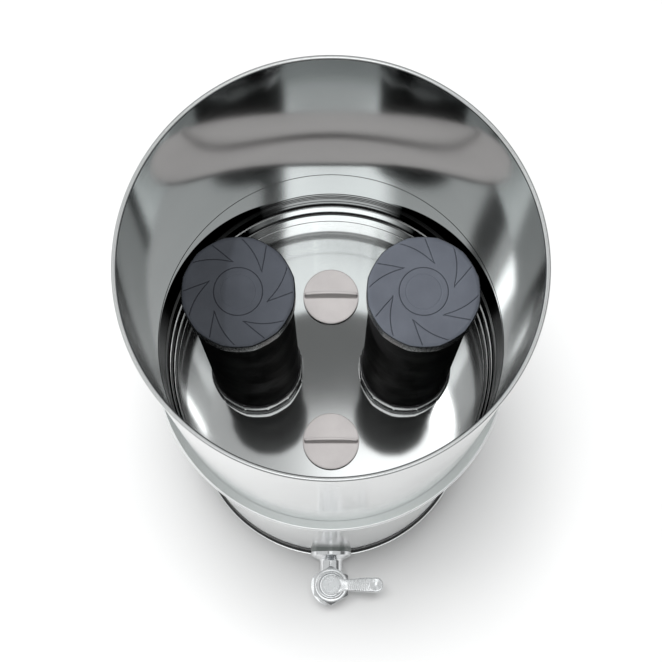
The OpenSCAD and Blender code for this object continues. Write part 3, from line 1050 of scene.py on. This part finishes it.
# ------------------------------------------------------------------ tap
def tap():
    c = (0, 0, TAP_Z)
    # flange, cone, neck and shank about the tap's own axis: the outline's height is -Y
    b = Build()
    prof = [(5.0, 95.4, 0.3), (7.3, 95.4, 0.3)]
    th = []
    for i in range(17):
        y = 96.0 + i * 1.5
        th += [(7.3, y), (7.8, y + 0.375), (7.8, y + 0.75), (7.3, y + 1.125)]
    prof += th
    prof += [
        (7.3, 122.4),
        (17.8, 122.4, 0.4),
        (17.8, 125.6, 0.7),
        (17.2, 126.0, 0.5),
        (10.6, 129.1, 1.2),
        (9.8, 130.4, 1.0),
        (9.8, 148.0),
        (5.0, 148.0),
    ]
    prof = fillet(prof, 5)
    b.lathe(prof, 160, axis="y", centre=c)
    # barrel and spout stub about the valve axis
    v = (0, VALVE_Y, 0)
    b.lathe(
        fillet(
            [
                (4.6, 23.0, 0.2),
                (7.0, 23.0, 0.3),
                (7.0, 30.0, 0.4),
                (9.6, 30.2, 0.6),
                (13.5, 34.4, 1.4),
                (13.5, 62.9, 0.4),
                (9.3, 62.9, 0.2),
                (9.3, 38.0, 0.2),
                (4.6, 38.0, 0.2),
            ],
            5,
        ),
        160,
        centre=v,
    )
    o = b.object("tap_body_cast", [CHROME])
    put(o, "lower_unit", "tap_chrome", "tap_body")

    # outer washer, its back curved to the wall
    b = Build()
    n = 128
    rings = []
    for r, front in ((8.1, 0), (8.1, 1), (17.1, 1), (17.5, 0.75), (17.5, 0)):
        row = []
        for t in range(n):
            a = 2 * PI * t / n
            x, z = r * math.cos(a), r * math.sin(a)
            yb = -math.sqrt(119.42**2 - x * x)
            yf = -122.4
            row.append(len(b.v))
            b.v.append((x, yb + (yf - yb) * front, TAP_Z + z))
        rings.append(row)
    for i in range(len(rings)):
        a, q = rings[i], rings[(i + 1) % len(rings)]
        for t in range(n):
            u = (t + 1) % n
            b.face((a[t], a[u], q[u], q[t]), [(0, 0, 1)] * 4)
    o = b.object("tap_washer_outer", [WASHER], custom=False, angle=30)
    bm = bmesh.new()
    bm.from_mesh(o.data)
    bmesh.ops.recalc_face_normals(bm, faces=bm.faces)
    bm.to_mesh(o.data)
    bm.free()
    put(o, "lower_unit", "rubber_black", "tap_outer_washer")

    # spout nozzle
    b = Build()
    b.lathe(
        fillet(
            [
                (5.0, 12.0, 0.3),
                (6.6, 12.0, 0.5),
                (7.3, 13.0, 0.6),
                (9.2, 20.0, 1.2),
                (9.2, 24.6, 0.5),
                (8.8, 25.2, 0.3),
                (8.8, 26.0, 0.3),
                (9.2, 26.6, 0.4),
                (9.2, 29.4, 0.6),
                (8.4, 29.8, 0.3),
                (7.05, 29.8, 0.2),
                (7.05, 23.0, 0.1),
                (5.0, 23.0, 0.1),
            ],
            5,
        ),
        128,
        centre=v,
    )
    o = b.object("tap_spout_turned", [CHROME])
    put(o, "lower_unit", "tap_chrome", "tap_spout")

    # bonnet: a chamfered hexagon with a lip round the hub
    def hexed(r, z, th_):
        if z < 62.95 or z > 72.0 or r < 12.0:
            return r
        u = th_ % (PI / 3)
        u = u - PI / 3 if u > PI / 6 else u
        return min(r, 14.75 / math.cos(u))

    b = Build()
    prof = [(3.56, 63.8), (6.5, 63.8), (6.5, 59.6), (9.25, 59.6), (9.25, 63.0), (16.75, 63.0), (17.0, 63.3), (17.0, 69.0)]
    for k in range(1, 15):
        u = k / 14
        prof.append((17.0 - 3.6 * u - 0.25 * math.sin(PI * u), 69.0 + 3.0 * u))
    prof += [(12.6, 72.0), (11.9, 72.15), (11.45, 72.5)]
    prof += [(11.4, 73.7), (11.0, 74.15), (10.5, 74.3), (9.9, 74.15), (9.4, 73.7), (9.4, 72.2), (3.56, 72.2)]
    b.lathe(prof, 360, centre=v, rfun=hexed)
    o = b.object("tap_bonnet_hex", [CHROME], custom=False, angle=16)
    put(o, "lower_unit", "tap_chrome", "tap_bonnet")
    # stop flange on the bonnet's left front side
    bm = bmesh.new()
    outline = [(13.0 * math.cos(math.radians(a)), 13.0 * math.sin(math.radians(a))) for a in range(256, 150, -3)]
    outline += [(17.2 * math.cos(math.radians(a)), 17.2 * math.sin(math.radians(a))) for a in range(151, 257, 3)]
    prism(bm, outline, 63.05, 67.2, 0.9, 4)
    for w in bm.verts:
        w.co.y += VALVE_Y * MM
    o = bm_object("tap_bonnet_stop", bm, [CHROME], 35)
    put(o, "lower_unit", "tap_chrome")

    # lever: hub, arm with a hammered waist and a dimpled end
    b = Build()
    b.lathe(
        fillet(
            [
                (0.0, 72.95),
                (8.5, 72.95, 0.3),
                (8.5, 78.7, 0.5),
                (8.0, 79.25, 0.4),
                (7.2, 79.28, 0.3),
                (7.0, 79.18, 0.2),
                (0.0, 79.22),
            ],
            4,
            closed=False,
        ),
        120,
        closed=False,
        centre=v,
    )
    hub = b.object("tap_lever_hub", [SATIN])
    put(hub, "tap_valve", "lever_satin", "tap_lever")
    bm = bmesh.new()
    nx, nphi = 150, 56
    rows = []
    for i in range(nx + 1):
        u = i / nx
        x = 3.0 + 42.3 * u
        if x < 14:
            w = 4.7 + 3.2 * (0.5 + 0.5 * math.cos(PI * (x - 3) / 11))
        else:
            w = 4.7 + 1.6 * math.sin(PI * 0.5 * min(1, (x - 14) / 22))
        end = 39.0
        if x > end:
            w *= math.sqrt(max(0.0, 1 - ((x - end) / 6.3) ** 2))
        w = max(w, 0.05)
        th_ = 1.95
        if x > 43.4:
            th_ *= math.sqrt(max(0.02, 1 - ((x - 43.4) / 1.9) ** 2))
        row = []
        for j in range(nphi):
            p = 2 * PI * j / nphi
            cy, sz = math.cos(p), math.sin(p)
            y = w * math.copysign(abs(cy) ** 0.75, cy)
            z = th_ * math.copysign(abs(sz) ** (0.62 if x > 14 else 0.34 + 0.28 * max(0.0, (x - 8) / 6)), sz)
            if sz > 0:
                ham = math.exp(-(((x - 24) / 9) ** 4)) * (0.28 * math.sin(x * 1.9 + 0.8 * math.sin(y * 0.9)) - 0.15)
                dd = math.hypot((x - 38.6) / 4.2, y / 4.0)
                dim = -1.15 * math.exp(-(dd**2.6)) + 0.25 * math.exp(-(((dd - 1.35) / 0.3) ** 2))
                waist = -0.5 * math.exp(-(((x - 13) / 6) ** 2)) * (1 - min(1.0, (y / 5.0) ** 2))
                z += (ham + dim + waist) * abs(sz) ** 0.5
            zz = 77.2 + z
            zz = min(zz, 79.28)
            row.append(bm.verts.new((x * MM, (VALVE_Y + y) * MM, zz * MM)))
        rows.append(row)
    for i in range(nx):
        for j in range(nphi):
            k = (j + 1) % nphi
            bm.faces.new((rows[i][j], rows[i + 1][j], rows[i + 1][k], rows[i][k]))
    bm.faces.new(rows[0])
    bm.faces.new(list(reversed(rows[-1])))
    arm = bm_object("tap_lever_arm", bm, [SATIN_ARM], 60)
    put(arm, "tap_valve", "lever_satin")


SATIN_ARM = cast_chrome("lever_polished", (0.74, 0.75, 0.76, 1), (0.84, 0.85, 0.86, 1), 0.12, 0.24, 0.10)
tap()

# ------------------------------------------------------------------ hidden pieces keep their CAD shape
nodes = frame["nodes"]
for name, mat in {
    "tap_inner_washer": RUBBER,
    "tap_lock_nut": STEEL_PLAIN,
    "tap_seats": SEAL,
    "tap_ball": CHROME,
    "tap_stem": STEEL_PLAIN,
    "tap_packing": SEAL,
    "tap_lever_screw": OXIDE,
}.items():
    o = nodes[name]
    o.data.materials.clear()
    o.data.materials.append(mat)

# ------------------------------------------------------------------ stage, light, camera
fl = bpy.data.meshes.new("floor")
s = 6.0
fl.from_pydata([(-s, -s, 0), (s, -s, 0), (s, s, 0), (-s, s, 0)], [], [(0, 1, 2, 3)])
floor = bpy.data.objects.new("floor", fl)
scene.collection.objects.link(floor)
fm, nt, b = new_mat("floor_paper")
paper = noise(nt, coords(nt), 3.0, 3.0)
nt.links.new(ramp(nt, paper, [(0.3, grey(0.575)), (0.7, grey(0.595))]), b.inputs["Base Color"])
b.inputs["Roughness"].default_value = 0.9
b.inputs["Specular IOR Level"].default_value = 0.1
fl.materials.append(fm)

world = bpy.data.worlds.new("studio")
scene.world = world
world.use_nodes = True
wt = world.node_tree
bg = wt.nodes["Background"]
tc = wt.nodes.new("ShaderNodeTexCoord")
sep = wt.nodes.new("ShaderNodeSeparateXYZ")
wt.links.new(tc.outputs["Generated"], sep.inputs[0])
WX, WY, WZ = sep.outputs


def wm(op, a, b=None, c=None):
    n = wt.nodes.new("ShaderNodeMath")
    n.operation = op
    for k, v in enumerate((a, b, c)):
        if v is None:
            continue
        if isinstance(v, (int, float)):
            n.inputs[k].default_value = v
        else:
            wt.links.new(v, n.inputs[k])
    return n.outputs[0]


def soft(v, a, b):
    """0 below a, 1 above b (or the other way round when a > b)."""
    n = wt.nodes.new("ShaderNodeMapRange")
    n.interpolation_type = "SMOOTHSTEP"
    lo, hi = min(a, b), max(a, b)
    n.inputs["From Min"].default_value = lo
    n.inputs["From Max"].default_value = hi
    n.inputs["To Min"].default_value = 0.0 if a < b else 1.0
    n.inputs["To Max"].default_value = 1.0 if a < b else 0.0
    wt.links.new(v, n.inputs["Value"])
    return n.outputs["Result"]


def window(v, lo, hi, edge):
    return wm("MULTIPLY", soft(v, lo - edge, lo + edge), soft(v, hi + edge, hi - edge))


zz = wm("MAXIMUM", WZ, 0.05)
U = wm("DIVIDE", WX, zz)
V = wm("DIVIDE", WY, zz)
up = soft(WZ, 0.0, 0.15)
# room light, bright panels round the zenith, a dim strip behind the camera


def blob(u0, v0, su, sv, inner=0.2):
    du = wm("DIVIDE", wm("SUBTRACT", U, u0), su)
    dv = wm("DIVIDE", wm("SUBTRACT", V, v0), sv)
    return soft(wm("ADD", wm("MULTIPLY", du, du), wm("MULTIPLY", dv, dv)), 1.0, inner)


def lift(level, mask, gain):
    return wm("ADD", level, wm("MULTIPLY", mask, gain))


def drop(level, mask, share):
    return wm("MULTIPLY", level, wm("SUBTRACT", 1.0, wm("MULTIPLY", mask, share)))


level = wm("ADD", 0.7, 0.0)
level = lift(level, wm("MULTIPLY", window(V, -0.33, -0.19, 0.012), window(U, -0.17, 0.17, 0.03)), 1.22)
level = lift(level, wm("MULTIPLY", window(V, -0.19, 0.145, 0.02), wm("MAXIMUM", wm("MULTIPLY", window(U, -0.165, 0.165, 0.02), soft(V, 0.08, 0.04)), window(U, -0.012, 0.10, 0.025))), 0.75)
level = drop(level, wm("MULTIPLY", window(V, 0.10, 0.155, 0.01), window(U, -0.10, -0.03, 0.03)), 0.35)
level = lift(level, wm("MULTIPLY", window(V, -0.75, -0.40, 0.02), window(U, -0.55, 0.55, 0.08)), 0.6)
level = drop(level, wm("MULTIPLY", window(V, 0.155, 0.30, 0.015), window(U, -0.07, 0.07, 0.03)), 0.78)
level = drop(level, wm("MULTIPLY", window(U, 0.136, 0.194, 0.008), window(V, -0.62, -0.17, 0.01)), 0.93)
level = drop(level, blob(-0.29, 0.05, 0.06, 0.07), 0.9)
# a round lamp's rim: a black ring towards the back, a grey one towards the front
RHO = wm("SQRT", wm("ADD", wm("MULTIPLY", U, U), wm("MULTIPLY", V, V)))
level = drop(level, wm("MULTIPLY", wm("MULTIPLY", window(RHO, 0.2050, 0.2150, 0.0012), soft(V, 0.05, 0.09)), soft(wm("ABSOLUTE", U), 0.025, 0.05)), 0.98)
level = drop(level, wm("MULTIPLY", window(RHO, 0.2625, 0.2705, 0.0012), soft(V, -0.15, -0.19)), 0.72)
edge_u = window(U, 0.0, 0.20, 0.03)
level = lift(level, wm("MULTIPLY", wm("MULTIPLY", window(RHO, 0.2712, 0.2728, 0.0006), soft(V, -0.15, -0.19)), edge_u), 0.9)
level = lift(level, wm("MULTIPLY", wm("MULTIPLY", window(RHO, 0.2602, 0.2618, 0.0006), soft(V, -0.15, -0.19)), edge_u), 0.9)
level = drop(level, blob(-0.088, -0.2515, 0.012, 0.007), 0.45)
level = drop(level, blob(-0.135, -0.2300, 0.022, 0.012), 0.6)
level = lift(level, blob(0.047, -0.2670, 0.010, 0.0030), 1.2)
level = lift(level, blob(0.047, -0.2570, 0.010, 0.0030), 1.2)
level = lift(level, blob(-0.205, 0.165, 0.045, 0.045), 2.4)
level = lift(level, blob(-0.18, 0.09, 0.025, 0.035), 1.2)
level = lift(level, blob(0.172, 0.098, 0.022, 0.03), 0.7)
level = lift(level, blob(0.076, 0.160, 0.022, 0.022), 3.0)
# the room is dark low down except on the left
low = wm("MULTIPLY", window(WZ, 0.10, 0.56, 0.05), soft(WX, -0.80, -0.50))
level = drop(level, low, 0.75)
level = wm("ADD", wm("MULTIPLY", level, up), wm("MULTIPLY", 0.5, wm("SUBTRACT", 1.0, up)))
mixc = wt.nodes.new("ShaderNodeCombineColor")
for k, t in enumerate((0.985, 1.0, 1.0)):
    wt.links.new(wm("MULTIPLY", level, t), mixc.inputs[k])
wt.links.new(mixc.outputs[0], bg.inputs["Color"])
bg.inputs["Strength"].default_value = 1.0


def area(name, loc, target, sx, sy, power, color=(1, 1, 1), glossy=True):
    l = bpy.data.lights.new(name, "AREA")
    l.shape = "RECTANGLE"
    l.size, l.size_y = sx, sy
    l.energy = power
    l.color = color
    o = bpy.data.objects.new(name, l)
    o.location = loc
    d = Vector(target) - Vector(loc)
    o.rotation_euler = d.to_track_quat("-Z", "Y").to_euler()
    o.visible_glossy = glossy
    scene.collection.objects.link(o)
    return o


area("fill_top", (-0.055, 0.03, 2.6), (0, 0, 0.3), 0.52, 0.52, 80, glossy=False)
area("key_back", (-0.95, 0.70, 2.2), (0, 0, 0.2), 1.4, 1.4, 6, glossy=False)

sp = bpy.data.lights.new("cap_spot", "SPOT")
sp.energy = 430.0
sp.shadow_soft_size = 0.04
sp.spot_size = math.radians(9.5)
sp.spot_blend = 0.9
so = bpy.data.objects.new("cap_spot", sp)
so.location = (-0.75, 0.10, 1.45)
so.rotation_euler = (Vector((0.062, 0.0, 0.536)) - so.location).to_track_quat("-Z", "Y").to_euler()
so.visible_glossy = False
scene.collection.objects.link(so)

cam = bpy.data.cameras.new("camera")
cam.sensor_fit = "HORIZONTAL"
cam.sensor_width = 36.0
cam.lens = 85.81
cam.clip_start = 0.01
cam.clip_end = 50
co = bpy.data.objects.new("camera", cam)
co.location = (0.0, -0.21496, 1.4538)
co.rotation_euler = (math.radians(90 - 78.26), 0, 0)
scene.collection.objects.link(co)
scene.camera = co

scene.view_settings.view_transform = "Standard"
scene.view_settings.look = "None"
scene.cycles.max_bounces = 16
scene.cycles.glossy_bounces = 14
scene.cycles.diffuse_bounces = 5
scene.cycles.sample_clamp_indirect = 6.0
